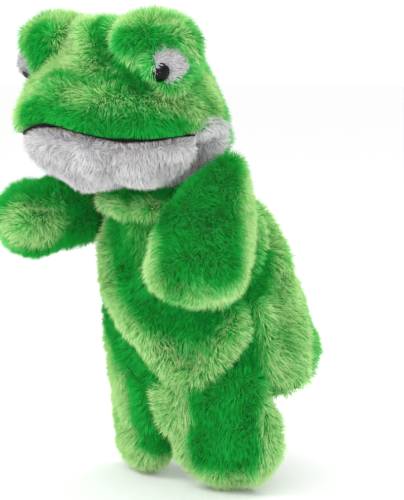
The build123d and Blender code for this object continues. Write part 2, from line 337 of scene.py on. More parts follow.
def cloth_between(outer, inner, faces):
    """A closed skin between two layers of the same faces."""
    once = {}
    for a, b in sides_of(faces):
        key = (min(a, b), max(a, b))
        once[key] = None if key in once else (a, b)
    rim = [edge for edge in once.values() if edge is not None]
    count = len(outer)
    whole = faces.tolist() + [[i + count for i in reversed(f)] for f in faces.tolist()]
    whole += [[b, a, a + count, b + count] for a, b in rim]
    return np.concatenate([outer, inner]), whole


def placed(name, mesh):
    """A new object in the scene from a mesh, lamp or camera."""
    piece = bpy.data.objects.new(name, mesh)
    bpy.context.scene.collection.objects.link(piece)
    return piece


def new_piece(name, points, faces, materials, shades=None):
    """A smooth mesh object from points and faces; shades holds each face's material number."""
    mesh = bpy.data.meshes.new(name)
    mesh.from_pydata([tuple(p) for p in points], [], [tuple(int(i) for i in f) for f in faces])
    for material in materials:
        mesh.materials.append(material)
    if shades is not None:
        mesh.polygons.foreach_set("material_index", np.asarray(shades, np.int32))
    mesh.polygons.foreach_set("use_smooth", np.ones(len(faces), bool))
    mesh.update()
    return placed(name, mesh)


# ---- wrapping the CAD ----
def tree_of(*nodes):
    """The CAD nodes as one tree for casting rays."""
    points, faces = [], []
    for name in nodes:
        mesh = frame["nodes"][name].data
        first = len(points)
        points += [v.co.copy() for v in mesh.vertices]
        faces += [[first + i for i in p.vertices] for p in mesh.polygons]
    return BVHTree.FromPolygons(points, faces)


def outer_distance(tree, starts, ways):
    """How far out from each start the CAD's outside lies, or nan where there is none."""
    found = np.full(len(ways), np.nan)
    for i, (start, way) in enumerate(zip(starts, ways)):
        hit = tree.ray_cast(Vector(start + way * OUTER_REACH), Vector(-way))[0]
        if hit is not None:
            reach = (np.array(hit) - start) @ way
            found[i] = reach if reach > 0 else np.nan
    return found


def filled(values, edges, fallback):
    """Gaps in the values closed from their neighbours, and narrow slots bridged."""
    values = np.where(np.isnan(values), fallback, values)
    for pick in (np.fmax, np.fmin):
        spread = values.copy()
        pick.at(spread, edges[:, 0], values[edges[:, 1]])
        pick.at(spread, edges[:, 1], values[edges[:, 0]])
        values = spread
    return values


def ball(subdivisions):
    """Directions all round, and their triangles."""
    mesh = bmesh.new()
    bmesh.ops.create_icosphere(mesh, subdivisions=subdivisions, radius=1)
    points = np.array([v.co for v in mesh.verts])
    faces = np.array([[v.index for v in f.verts] for f in mesh.faces])
    mesh.free()
    return unit(points), faces


def shell(points, faces, keep):
    """The kept faces, and the same as a closed skin of backing, its inside towards the middle."""
    points, faces = trimmed(points, faces[keep])
    return points, faces, *cloth_between(points, deeper(points, faces, BACKING), faces)


# ---- pile ----
FIBRE_WIDE = 0.34 * MM
FIBRE_WIDTHS = (0.8, 1.25)  # shares of that width
FIBRE_LENGTHS = (0.72, 1.08)  # shares of the pile's length
KNEE = 0.55  # share of a fibre that stands below its bend
FLOW_SIZE = 30 * MM  # the pile's lie changes over this length
TUFT_SIZE = 4.2 * MM  # fibres lean together in tufts of about this size
FLOW_LEAN, TUFT_LEAN, STRAY_LEAN = 0.44, 0.13, 0.10
SHADES = 3
SHADE_LIMITS = (-0.15, 0.45)  # the middle shade lies between these levels; fibres under them take the dark copy and over them the light copy: painted shade and painted light, mixed with random tone
SHADE_PATCHES = ((0.12, 26 * MM), (0.08, 7 * MM))  # how strong and how wide
SHADE_STRAY = 0.14


def along_skin(ways, normals):
    """The part of each direction that lies along the skin."""
    return ways - normals * (ways * normals).sum(1, keepdims=True)


def ribbons(name, rows, grade, fibres):
    """Fibres as one mesh. Each has five points: a ribbon of four, and a tip in its own lighter material, a
    painted sheen.
    """
    count = len(grade)
    first = np.arange(count)[:, None] * 5
    loops = np.concatenate([first + [0, 1, 3, 2], first + [2, 3, 4]], axis=1).ravel()
    starts = (np.arange(count)[:, None] * 7 + [0, 4]).ravel()
    mesh = bpy.data.meshes.new(name)
    mesh.vertices.add(len(rows))
    mesh.vertices.foreach_set("co", rows.astype(np.float32).ravel())
    mesh.loops.add(len(loops))
    mesh.loops.foreach_set("vertex_index", loops.astype(np.int32))
    mesh.polygons.add(len(starts))
    mesh.polygons.foreach_set("loop_start", starts.astype(np.int32))
    mesh.polygons.foreach_set("loop_total", np.tile([4, 3], count).astype(np.int32))
    for material in fibres:
        mesh.materials.append(material)
    numbers = np.stack([grade, SHADES + grade], axis=1)
    mesh.polygons.foreach_set("material_index", numbers.ravel().astype(np.int32))
    mesh.polygons.foreach_set("use_smooth", np.ones(len(starts), bool))
    mesh.update(calc_edges=True)
    return placed(name, mesh)


def pile(name, points, faces, fibres, length, per_mm2, comb, seed, tint=None, keep=None,
         width=FIBRE_WIDE, settle=None):
    """Tufted fibres on a skin, as tapering ribbons that lean along the comb direction. keep picks
    the places that bear fibres, and settle moves fibres that would cross another skin."""
    rng = np.random.default_rng(seed)
    if faces.shape[1] == 4:
        faces = np.concatenate([faces[:, [0, 1, 2]], faces[:, [0, 2, 3]]])
    a, b, c = (points[faces[:, i]] for i in range(3))
    area = np.linalg.norm(np.cross(b - a, c - a), axis=1) / 2
    count = int(area.sum() * 1e6 * per_mm2)
    pick = rng.choice(len(faces), count, p=area / area.sum())
    u, v = rng.random((2, count, 1))
    over = (u + v) > 1
    u, v = np.where(over, 1 - u, u), np.where(over, 1 - v, v)
    skin_normals = normals_of(points, faces)
    na, nb, nc = (skin_normals[faces[pick, i]] for i in range(3))
    roots = a[pick] + u * (b[pick] - a[pick]) + v * (c[pick] - a[pick])
    normals = unit(na + u * (nb - na) + v * (nc - na))
    # shade carries the tint's painted light and shade to each fibre, then random patches; it picks the
    # fibre's dark, middle or light copy.
    shade = np.zeros(count)
    if tint is not None:
        shade = (1 - u - v)[:, 0] * tint[faces[pick, 0]] + u[:, 0] * tint[faces[pick, 1]]
        shade += v[:, 0] * tint[faces[pick, 2]]
    if keep is not None:
        kept = keep(roots)
        roots, normals, shade = roots[kept], normals[kept], shade[kept]
        count = len(roots)

    drift = np.stack([waves(roots, FLOW_SIZE, seed + i) for i in (1, 2, 3)], axis=1)
    flow = along_skin(comb(roots) + 0.5 * drift, normals)
    tuft = np.stack([waves(roots, TUFT_SIZE, seed + i, 24) for i in (4, 5, 6)], axis=1)
    stray = rng.normal(size=(count, 3))
    lean = FLOW_LEAN * flow + TUFT_LEAN * along_skin(tuft, normals) + STRAY_LEAN * stray
    tall = length * rng.uniform(*FIBRE_LENGTHS, (count, 1))
    tall *= 1 + 0.08 * waves(roots, 9 * MM, seed + 7)[:, None]
    way = unit(normals + lean)
    bent = unit(normals * 0.75 + lean * 1.5)
    across = unit(np.cross(way, rng.normal(size=(count, 3))))
    half = across * (width / 2 * rng.uniform(*FIBRE_WIDTHS, (count, 1)))
    foot = roots - normals * 0.4 * MM
    high = foot + way * tall * KNEE
    tip = high + bent * tall * (1 - KNEE)
    rows = [foot - half, foot + half, high - half * 0.8, high + half * 0.8, tip]
    rows = np.stack(rows, axis=1).reshape(-1, 3)
    if settle is not None:
        rows = settle(rows)
    for i, (strength, size) in enumerate(SHADE_PATCHES):
        shade = shade + strength * waves(roots, size, seed + 8 + i)
    shade = shade + SHADE_STRAY * rng.normal(size=count)
    return ribbons(name, rows, np.digitize(shade, SHADE_LIMITS), fibres)


WHITE_PILE = 5.6 * MM
EYE_PILE, EYE_FIBRE_WIDE = 3.2 * MM, 0.30 * MM
HEAD_PILE, NAPE_PILE, BODY_PILE, COLLAR_PILE, LIMB_PILE = (x * MM for x in (7.4, 7.6, 7.4, 7.2, 7.8))
HEM_PILE = 4.2 * MM
HEAD_DENSE, EYE_DENSE, BODY_DENSE, HEM_DENSE = 2.4, 3.0, 2.3, 1.8  # fibres for each mm2


def downwards(points):
    """Pile that hangs down."""
    return np.tile([0.0, 0.0, -1.0], (len(points), 1))


def from_the_lips(points):
    """Pile of the chin: straight out at the lips, hanging down below."""
    near = smooth_step(points[:, 2], HINGE[2] - 12 * MM, HINGE[2] - 4 * MM)
    return np.stack([0 * near, 0 * near, 1.15 * near - 1], axis=1)


def down_the_body(points):
    """Pile that lies down along the sleeve."""
    return np.tile(-AXIS, (len(points), 1))


# ---- upper head ----
def from_hinge(points):
    """(left, forward, up) from the middle of the mouth's hinge, in millimetres, as places."""
    return HINGE + np.array([[x, -forward, up] for x, forward, up in points]) * MM


def head_folds(*lines):
    """Folds from lines of places round the hinge, widths and heights in millimetres, and tints of painted
    light and shade.
    """
    return [(from_hinge(line), width * MM, rise * MM, tint) for line, width, rise, tint in lines]


def both_sides(folds):
    """The folds and their copies on the frog's other side."""
    return folds + [(line * [-1, 1, 1], width, rise, tint) for line, width, rise, tint in folds]


# Measures of the CAD's head that the skins share.
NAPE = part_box("nape_cover")[0][1]
BULGE_R = 25 * MM
bulge_low, bulge_high = (np.array(c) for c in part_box("eye_bulge_cover_left"))
BULGE = np.array([bulge_high[0] - BULGE_R, bulge_low[1] + BULGE_R, bulge_high[2] - BULGE_R])
WHITE_WAY = unit([0.60, -0.49, -0.63])  # from the bulge's middle to the middle of its white patch
WHITE_COS = 0.75  # cosine of the patch's half angle
LID_WAY = unit([0.86, -0.40, -0.31])  # the lid leaves this round part of the patch bare
LID_COS = {1: 0.885, -1: 0.60}  # on the left, and on the right, where the lid is lower


def on_white(points):
    """How far inside the white patch of either eye each point lies; above 0 is white."""
    best = np.full(len(points), -1.0)
    for side, lid_cos in LID_COS.items():
        away = points * [side, 1, 1] - BULGE
        near = np.linalg.norm(away, axis=1) < BULGE_R * 1.45
        inside = np.minimum(unit(away) @ WHITE_WAY - WHITE_COS, unit(away) @ LID_WAY - lid_cos)
        best = np.where(near & (inside > best), inside, best)
    return best


CHEEK_LOW, CHEEK_RISE, CHEEK_FALL = 3 * MM, 7 * MM, 3 * MM  # levels of its edge over the hinge
CHEEK_FRONT = 12 * MM  # it starts this far in front of the hinge
CHEEK_INNER = 30 * MM  # and lies outside this distance from the middle


def on_cheek(points):
    """How far inside the white of a cheek each point lies: it comes up behind the mouth's corner."""
    behind = points[:, 1] - HINGE[1]
    level = HINGE[2] + CHEEK_LOW + CHEEK_RISE * smooth_step(behind, -8 * MM, 11 * MM)
    level -= CHEEK_FALL * smooth_step(behind, 14 * MM, 26 * MM)
    inside = np.minimum(level - points[:, 2], behind + CHEEK_FRONT)
    return np.minimum(inside, np.minimum(NAPE - points[:, 1], np.abs(points[:, 0]) - CHEEK_INNER))


EYE_AT = np.array(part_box("eye_left")).mean(0)
EYE_COMB = 7 * MM  # the pile's lean grows with the distance from the eye, to 1 here


def away_from_eyes(points):
    """Pile that leans away from the eyes."""
    return np.where(points[:, :1] > 0, points - EYE_AT, points - EYE_AT * [-1, 1, 1]) / EYE_COMB


LIP_ARCH, LIP_ARCH_WIDE = 6.0 * MM, 0.42  # the lips rise over the front, angles in radians
LIP_DIP, LIP_DIP_AT, LIP_DIP_WIDE = 2.2 * MM, 0.95, 0.4
LIP_LONG = 55 * MM  # from the mouth's hinge out to the lips
LIP_FADE = 16 * MM  # height over and under the lips in which the arch fades
HINGE_SHIFT = 3 * MM  # the arch turns about a line this far in front of the hinge


def lip_warp(points):
    """Points near the lips, raised where the lips arch over the front and lowered beside it."""
    forward = HINGE[1] - HINGE_SHIFT - points[:, 1]
    turn = np.abs(np.arctan2(points[:, 0], forward))
    arch = LIP_ARCH * np.exp(-((turn / LIP_ARCH_WIDE) ** 2))
    arch -= LIP_DIP * np.exp(-(((turn - LIP_DIP_AT) / LIP_DIP_WIDE) ** 2))
    far = np.hypot(points[:, 0], forward) / LIP_LONG
    fade = np.exp(-(((points[:, 2] - HINGE[2]) / LIP_FADE) ** 2))
    warped = points.copy()
    warped[:, 2] += arch * fade * smooth_step(far, 0.1, 1.0)
    return warped


def lip_level(points):
    """Height of the closed lips over or under each point."""
    flat = points.copy()
    flat[:, 2] = HINGE[2]
    return lip_warp(flat)[:, 2]


mouth_low, mouth_high = (np.array(c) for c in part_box("lower_mouth_lining"))
MOUTH_EDGE = 1.2 * MM  # the mouth's layers end this far inside the CAD's lining
MOUTH_WIDE = (mouth_high[0] - mouth_low[0]) / 2 - MOUTH_EDGE
MOUTH_LONG = mouth_high[1] - mouth_low[1] - MOUTH_EDGE
LIP_CLEAR, LINING_CLEAR = 0.35 * MM, 1.6 * MM  # room for fibres at the lips, and more inside


def clear_of_lips(side):
    """Keeps fibres above (1) or below (-1) the lips and the mouth's lining, in front of its hinge."""
    def settle(points):
        share = np.hypot(points[:, 0] / MOUTH_WIDE, (mouth_high[1] - points[:, 1]) / MOUTH_LONG)
        gap = LIP_CLEAR + LINING_CLEAR * (1 - smooth_step(share, 0.90, 0.99))
        limit = side * lip_level(points) + gap
        height = np.maximum(side * points[:, 2], limit)
        points[:, 2] = np.where(points[:, 1] < HINGE[1] - 2 * MM, side * height, points[:, 2])
        return points
    return settle


# A tint above 0 is painted light, which makes the pile lighter, and below 0 painted shade, which makes it
# darker.
SNOUT_FOLDS = head_folds(
    ([(-8, 49, 32), (8, 48, 34), (21, 45, 33), (33, 39, 32), (44, 32, 29), (51, 26, 26)], 4, -3.4, -3.2),
    ([(4, 22, 59), (13, 30, 52), (18, 34, 45), (29, 35, 39), (42, 33, 35), (49, 30, 32)], 4.5, -4.6, -3.2),
    ([(19, 43, 39), (30, 41, 36)], 4, 1.8, 0.6),
    ([(39, 37, 43), (47, 35, 39)], 4, 1.2, 1.0),
    ([(-16, 62, 11), (-1, 64, 10), (17, 62, 7), (37, 52, 5), (52, 37, 5), (60, 21, 7)], 9, 0.6, -1.4),
    ([(-19, 30, 50), (-22, 41, 37), (-26, 49, 26), (-30, 54, 14)], 13, 0.8, 0.9),
    ([(-6, 27, 57), (1, 38, 44), (-6, 42, 40)], 10, 0.4, 0.8),
    ([(14, 54, 24), (26, 51, 22), (33, 46, 25)], 4.5, 0.9, 1.2),
    ([(54, 24, 21), (59, 12, 19), (61, 2, 16), (62, -7, 12)], 6.5, 1.0, 1.2),
    ([(64, 4, 32), (59, -4, 27), (60, -10, 20), (60, -13, 14)], 4.5, -1.6, -1.4),
    ([(38, 37, 54), (50, 35, 56), (58, 30, 54), (64, 25, 48)], 6, 0.0, -1.5),
    ([(30, 30, 62), (39, 31, 66), (54, 26, 68), (63, 18, 62), (68, 12, 52), (68, 4, 42)], 6, 0.0, 1.1),
    ([(50, -17, 33), (54, -20, 21), (57, -21, 13)], 7, 0.0, 1.0),
    ([(-33, 33, 60), (-34, 36, 52), (-31, 35, 44)], 7, 0.0, -1.4),
    ([(-47, 35, 60), (-43, 27, 68), (-24, 18, 62)], 6, 0.0, 1.0),
)
BROW_FOLDS = both_sides(head_folds(
    ([(16, 22, 60), (30, 33, 56), (44, 38, 50)], 6, 2.4, 0.0),
    ([(52, 35, 54), (62, 24, 58), (68, 10, 52), (68, 0, 40), (63, -4, 29)], 4.5, 2.6, 0.1),
    ([(60, -8, 40), (60, -10, 30), (58, -6, 20)], 6, -2.5, -0.2),
))
LID_FOLDS = both_sides(head_folds(
    ([(54, 29, 39), (53, 27, 35), (54, 22, 31), (56, 14, 28), (60, 4, 25)], 4.2, 6.5, 0.3),
))
CROWN_FOLDS = head_folds(([(0, -14, 62), (0, 6, 64), (0, 20, 60)], 17, 5.5, 0.2))

LIP_GAP = 2.2 * MM  # the skins stop this far from the closed mouth's plane
NO_SKIN = 1 * MM  # shorter distances mean that no outside was found
TOP_PAINTED_LIGHT, HEAD_LIGHT = 0.4, 0.1  # painted light on the skins that face up, and a lighter level over the whole head
ball_ways, triangles = ball(7)
ball_edges = edges_of(triangles)


def wrapped(tree, middle, fallback, times):
    """Distances out from the middle to a smoothed skin under the CAD's outer face."""
    reach = outer_distance(tree, np.tile(middle, (len(ball_ways), 1)), ball_ways)
    reach = filled(reach, ball_edges, 0.0)
    reach = np.where(reach > NO_SKIN, reach, fallback)
    return rounded(reach[:, None], ball_edges, times)[:, 0] - PILE


def plane_reach(middle, front_level, rear_level):
    """Distances from the middle to the level that closes a half of the head."""
    away = (ball_ways[:, 2] * np.sign(front_level - middle[2])).clip(0.02)
    front = abs(front_level - middle[2]) / away
    rear = abs(rear_level - middle[2]) / away
    return np.where(middle[1] + front * ball_ways[:, 1] > HINGE[1], rear, front)


PATCH_PUFF = 2.2 * MM  # the white eye patches stand out this much
CHEEK_PUFF = 3 * MM  # and the cheeks this much
DOME_FROM = 8 * MM  # heights past this over the bulge's middle
DOME_SHARE = 0.28  # are less than the CAD's by this share

head_middle = from_hinge([(0, 3, 20)])[0]
HEAD_COVERS = [
    "head_cover_left", "head_cover_right", "head_cover_top", "eye_bulge_cover_left",
    "eye_bulge_cover_right", "eye_white_left", "eye_white_right", "crown_gusset", "back_head_cover",
]
head_tree = tree_of(*HEAD_COVERS)
reach = wrapped(head_tree, head_middle, 60 * MM, 6)
whitish = on_white(head_middle + ball_ways * (reach + PILE)[:, None])
reach += PATCH_PUFF * smooth_step(whitish, -0.02, 0.05)
floor_reach = plane_reach(head_middle, HINGE[2] + LIP_GAP, HINGE[2])
closed = reach > floor_reach
head_points = head_middle + ball_ways * np.minimum(reach, floor_reach)[:, None]
head_normals = normals_of(head_points, triangles)
# The folds' tints are painted light and shade in the pile's colour, darker in most creases.
rise, head_painted_light = folded(head_points, SNOUT_FOLDS + BROW_FOLDS + CROWN_FOLDS)
rise += 0.8 * MM * waves(head_points, 34 * MM, 11)
rise *= 1 - smooth_step(whitish, -0.03, 0.02)
lid_rise, lid_painted_light = folded(head_points, LID_FOLDS)
rise = np.where(closed, 0, rise + lid_rise)
head_painted_light += lid_painted_light
head_points = head_points + head_normals * rise[:, None]
lowest = HINGE[2] + np.where(head_points[:, 1] > HINGE[1], 0, LIP_GAP)
head_points[:, 2] = np.maximum(head_points[:, 2], lowest)
head_points[:, 2] -= DOME_SHARE * np.maximum(head_points[:, 2] - BULGE[2] - DOME_FROM, 0)
rise = CHEEK_PUFF * smooth_step(on_cheek(head_points), -1 * MM, 4 * MM)
head_points = head_points + head_normals * np.where(closed, 0, rise)[:, None]
head_points = lip_warp(head_points)
# Skins that face up get painted light, as if lit from above.
head_painted_light += HEAD_LIGHT + TOP_PAINTED_LIGHT * smooth_step(head_normals[:, 2], 0.0, 0.8)
keep = ~closed[triangles].all(1)
head_painted_light = head_painted_light[np.unique(triangles[keep])]
head_skin, head_faces, shell_points, shell_faces = shell(head_points, triangles, keep)
corners = shell_points[[f[0] for f in shell_faces]]
head_piece = new_piece(
    "plush_head_upper", shell_points, shell_faces, [green_backing, white_backing],
    on_white(corners) > 0,
)
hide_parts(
    *HEAD_COVERS, "eye_bulge_stuffing_left", "eye_bulge_stuffing_right", "head_stuffing",
)

head_pile = pile(
    "pile_head_upper", head_skin, head_faces, green_fibres, HEAD_PILE, HEAD_DENSE, downwards, 101,
    head_painted_light, lambda p: (on_white(p) <= 0) & (on_cheek(p) <= 0), settle=clear_of_lips(1),
)
cheek_pile = pile(
    "pile_cheeks", head_skin, head_faces, white_fibres, WHITE_PILE, HEAD_DENSE, downwards, 141,
    None, lambda p: on_cheek(p) > 0, settle=clear_of_lips(1),
)
eye_white_pile = pile(
    "pile_eye_white", head_skin, head_faces, white_fibres, EYE_PILE, EYE_DENSE, away_from_eyes, 131,
    None, lambda p: on_white(p) > 0, EYE_FIBRE_WIDE,
)

# ---- lower head ----
JAW_FOLDS = both_sides(head_folds(
    ([(60, 10, -7), (60, -6, -9), (56, -20, -10)], 12, 5.5, 0.2),
    ([(40, 34, -20), (48, 18, -22)], 7, 2.5, 0.1),
    ([(26, 44, -20), (30, 36, -24)], 5, -2.0, -0.3),
))
NECK_TOP = np.array(JOINTS["head_nod"]["pos_m"]) @ AXIS
NECK_HOLE = 30 * MM  # the lower head is open round the neck, out to this radius

jaw_middle = from_hinge([(0, -3, -3)])[0]
jaw_tree = tree_of("chin_cover", "cheek_left", "cheek_right", "throat_gusset", "nape_cover")
reach = wrapped(jaw_tree, jaw_middle, 40 * MM, 8)
roof_reach = plane_reach(jaw_middle, HINGE[2] - LIP_GAP, HINGE[2])
roof_reach = np.where(ball_ways[:, 2] > 0.02, roof_reach, 1.0)
closed = reach > roof_reach
jaw_points = jaw_middle + ball_ways * np.minimum(reach, roof_reach)[:, None]
jaw_normals = normals_of(jaw_points, triangles)
# The jaw's folds paint light and shade into the pile's colour, darker in the crease.
rise, jaw_painted_light = folded(jaw_points, JAW_FOLDS)
rise += 1.2 * MM * waves(jaw_points, 28 * MM, 23)
jaw_points = jaw_points + jaw_normals * np.where(closed, 0, rise)[:, None]
jaw_points = lip_warp(jaw_points)
back = jaw_points @ REAR
in_neck = (np.hypot(jaw_points[:, 0], back) < NECK_HOLE) & (jaw_points @ AXIS < NECK_TOP + 6 * MM)
in_neck &= back > -NECK_HOLE
keep = ~closed[triangles].all(1) & ~in_neck[triangles].any(1)
white_side = jaw_points[triangles].mean(1)[:, 1] < NAPE
lower_skins = {}
for part, chosen, backing, fibres, length in (
    ("chin", keep & white_side, white_backing, white_fibres, WHITE_PILE),
    ("nape", keep & ~white_side, green_backing, green_fibres, NAPE_PILE),
):
    skin, skin_faces, shell_points, shell_faces = shell(jaw_points, triangles, chosen)
    tint = jaw_painted_light[np.unique(triangles[chosen])]
    piece = new_piece(f"plush_{part}", shell_points, shell_faces, [backing])
    tufts = pile(
        f"pile_{part}", skin, skin_faces, fibres, length, HEAD_DENSE, from_the_lips, 151, tint,
        settle=clear_of_lips(-1),
    )
    lower_skins[part] = (piece, tufts)
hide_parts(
    "chin_cover", "cheek_left", "cheek_right", "throat_gusset", "chin_stuffing",
)
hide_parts("nape_cover")


# ---- mouth ----
def mouth_layer(name, node, outward, gap, thickness, material):
    """A layer of one jaw's mouth in place of its CAD node, arched with the lips. gap gives its
    distance from the closed mouth's plane for shares of the way out to the lips."""
    low, high = (np.array(c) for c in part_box(node))
    half_wide = min((high[0] - low[0]) / 2, MOUTH_WIDE)
    long = min(high[1] - low[1], MOUTH_LONG)
    turns, shares = np.linspace(-np.pi / 2, np.pi / 2, 73), np.linspace(0.02, 1, 18)
    turn, share = (grid.ravel() for grid in np.meshgrid(turns, shares))
    across, back = half_wide * np.sin(turn) * share, high[1] - long * np.cos(turn) * share
    points = np.stack([across, back, 0 * turn], axis=1)
    points[:, 2] = HINGE[2] + outward * gap(points, share)
    points = lip_warp(points)
    faces = grid_faces(len(shares), len(turns))
    if outward > 0:
        faces = faces[:, ::-1]
    far = points + np.array([0, 0, outward * thickness])
    piece = new_piece(name, *cloth_between(points, far, faces), [material])
    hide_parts(node)
    return piece


def lining_gap(points, share):
    """The lining touches the other one at the lips and sags a little apart inside."""
    sag = 0.5 + 0.2 * (1 + waves(points, 9 * MM, 61))
    return (0.05 + sag * (1 - smooth_step(share, 0.86, 0.98))) * MM


LINING_THICK = 0.6 * MM
for half, outward, body in (("upper", 1, "head"), ("lower", -1, "jaw")):
    lining, board = f"{half}_mouth_lining", f"{half}_mouth_board"
    cloth = mouth_layer(
        f"lining_{lining}", lining, outward, lining_gap, LINING_THICK, black_cloth
    )
    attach(cloth, body)
    low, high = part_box(board)
    near = min(abs(low.z - HINGE[2]), abs(high.z - HINGE[2]))
    stiff = mouth_layer(
        f"card_{board}", board, outward, lambda points, share: near + 0 * share, high.z - low.z,
        card,
    )
    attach(stiff, body)


# ---- sleeve ----
body_tree = tree_of("body_front_cover", "body_back_cover")
body_top = np.array(JOINTS["head_turn"]["pos_m"]) @ AXIS
body_set_back = REAR * 2 * MM
FRONT_HEM = 18 * MM  # height of the front hem over the rear one
ARC_MM = 0.98  # millimetres round the body for each degree
SEAM = 78  # degrees round from the front to the side seams
BACK_FLARE = 12.0  # degrees by which the back's edges spread forwards at the hem
STEP = 1.5  # size of the panels' faces in degrees round and millimetres up
HEM_DEPTH = 13 * MM  # how far the hem is turned in
HEM_UNDER = 2.6 * MM  # from the panel's face in to the turned-in hem
LINING_UNDER = 4.4 * MM  # from the panel's face in to the lining
LINING_CLOTH = 0.8 * MM
NECK_TUCK = 9 * MM  # the panels turn in this far at the neck


def turned(degrees):
    """Direction square to the body axis, this many degrees round from the front to the left."""
    angle = np.radians(degrees)
    return np.sin(angle)[:, None] * SIDE - np.cos(angle)[:, None] * REAR


# Folds of the sleeve: places in degrees round and millimetres up, width, height, and tint, which is
# painted light above 0 and painted shade below 0.
FRONT_LINES = [
    ([(-30, 130), (-16, 122), (-14, 101), (2, 81), (22, 65), (48, 61), (64, 68)], 11, -4.0, -1.5),
    ([(-36, 86), (-20, 72), (7, 53), (24, 34), (40, 29), (60, 46), (70, 60)], 9, 4.4, 1.2),
    ([(48, 42)], 4, -1.0, -1.0),
    ([(-42, 66), (-28, 58), (-3, 42), (17, 22), (32, 12), (48, 22), (66, 38)], 3.5, -2.6, -0.4),
    ([(-40, 54), (-32, 46), (-11, 31), (10, 9), (27, 1), (46, 14), (64, 24)], 10, -2.6, -1.5),
    ([(-46, 112), (-42, 94)], 7, 2.5, 0.9),
    ([(-60, 40), (-50, 20), (-40, 4), (-30, -10)], 9, 2.0, 1.2),
    ([(-46, 50), (-52, 30), (-54, 8)], 12, 4.5, 0.4),
]
SIDE_LINES = [
    ([(77, 66), (77, 50), (74, 36), (71, 20), (74, -4)], 4, -8.0, -1.6),
    ([(85, 56), (83, 36), (80, 14)], 5, 1.5, 0.6),
    ([(124, 96), (119, 61), (105, 26), (94, 7)], 15, 4.0, 0.7),
    ([(101, 82), (88, 66)], 6, -3.0, -1.5),
    ([(116, 108), (115, 96), (110, 84), (100, 74)], 3.2, -4.0, -1.1),
    ([(108, 106), (108, 96), (103, 88), (94, 80)], 4, 2.8, 1.0),
    ([(130, 100), (127, 84), (118, 72)], 5, 2.4, 0.5),
    ([(96, 113)], 17, 7.0, -0.1),
]
RIGHT_LINES = [
    ([(-66, 68), (-74, 54), (-76, 34), (-73, 10)], 5, -6.0, -1.3),
    ([(-92, 58), (-94, 36), (-92, 8)], 13, 4.0, 0.6),
    ([(-112, 100), (-110, 84), (-96, 72)], 5, -3.0, -0.9),
    ([(-96, 113)], 17, 7.0, -0.1),
]
BACK_LINES = [
    ([(150, 110), (158, 84), (150, 60), (160, 34)], 6, -3.2, -0.6),
    ([(-172, 100), (-166, 70), (-178, 44)], 6, -3.0, -0.5),
    ([(-140, 90), (-146, 60), (-138, 30)], 7, -3.0, -0.5),
    ([(136, 50), (142, 24), (138, 0)], 7, 2.5, 0.4),
    ([(172, 60), (174, 30), (168, 4)], 8, 2.8, 0.4),
]
BODY_FOLDS = [
    (np.array(line, float) * [ARC_MM, 1], *rest)
    for line, *rest in FRONT_LINES + SIDE_LINES + RIGHT_LINES + BACK_LINES
]


def body_folds(degrees, height):
    """(rise, tint) of the sleeve's folds at places round and up the body; the tint is painted light and
    shade.
    """
    rise, tint = np.zeros(len(degrees)), np.zeros(len(degrees))
    for shift in (-360, 0, 360):
        flat = np.stack([(degrees + shift) * ARC_MM, height / MM], axis=1)
        more, shade = folded(flat, BODY_FOLDS)
        rise += more * MM
        tint += shade
    return rise, tint


def tube(degrees, heights, flare=0.0):
    """Points on the sleeve's skin, row by row up the body, their tint of painted light and shade,
    and quads. The edges of the back spread forwards by flare degrees at the hem."""
    turn, up = (grid.ravel() for grid in np.meshgrid(degrees, heights))
    turn = turn - flare * (180 - turn) / (180 - SEAM) * (1 - smooth_step(up, 8 * MM, 30 * MM))
    ways = turned(turn)
    level = np.clip(up, 0.6 * MM, body_top - 0.8 * MM)
    starts = AXIS * level[:, None] + body_set_back
    away = outer_distance(body_tree, starts, ways)
    low = np.isnan(away)
    starts[low] = AXIS * np.maximum(level[low], FRONT_HEM + 1 * MM)[:, None] + body_set_back
    away[low] = outer_distance(body_tree, starts[low], ways[low])
    # The folds' tints are painted light and shade in the pile's colour, darker in most creases.
    rise, tint = body_folds(turn, up)
    rise += 0.9 * MM * waves(np.stack([turn * ARC_MM * MM, up, 0 * up], 1), 30 * MM, 31)
    rise *= smooth_step(up, -30 * MM, 12 * MM)
    rise *= 1 - smooth_step(up, body_top - 6 * MM, body_top + 6 * MM)
    tuck = NECK_TUCK * smooth_step(up, body_top - 7 * MM, body_top + 1 * MM)
    points = AXIS * up[:, None] + body_set_back + ways * (away - PILE + rise - tuck)[:, None]
    return points, tint + 0.1, grid_faces(len(heights), len(degrees))


panels = {}
for part, first, last, hem, flare in (
    ("front", -SEAM, SEAM, FRONT_HEM, 0.0),
    ("back", SEAM, 360 - SEAM, 0.0, BACK_FLARE),
):
    degrees = np.linspace(first, last, int((last - first) / STEP))
    heights = np.arange(hem, body_top, STEP * MM)
    skin, tint, faces = tube(degrees, heights, flare)
    cloth = cloth_between(skin, deeper(skin, faces, BACKING), faces)
    piece = new_piece(f"plush_body_{part}", *cloth, [green_backing])
    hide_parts(f"body_{part}_cover")
    hem_rows = heights < hem + HEM_DEPTH
    hem_faces = faces[: (hem_rows.sum() - 1) * (len(degrees) - 1)]
    hem_deep = deeper(skin, faces, HEM_UNDER + BACKING)
    points, whole = cloth_between(deeper(skin, faces, HEM_UNDER), hem_deep, hem_faces)
    hem_piece = new_piece(f"plush_hem_{part}", *trimmed(points, np.array(whole)), [green_backing])
    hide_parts(f"hem_band_{part}")
    tufts = pile(
        f"pile_body_{part}", skin, faces, green_fibres, BODY_PILE, BODY_DENSE, down_the_body,
        201 + hem_rows.sum(), tint,
    )
    hem_tufts = pile(
        f"pile_hem_{part}", hem_deep, hem_faces[:, ::-1], green_fibres, HEM_PILE, HEM_DENSE,
        down_the_body, 231,
    )
    panels[part] = (piece, hem_piece, tufts, hem_tufts)

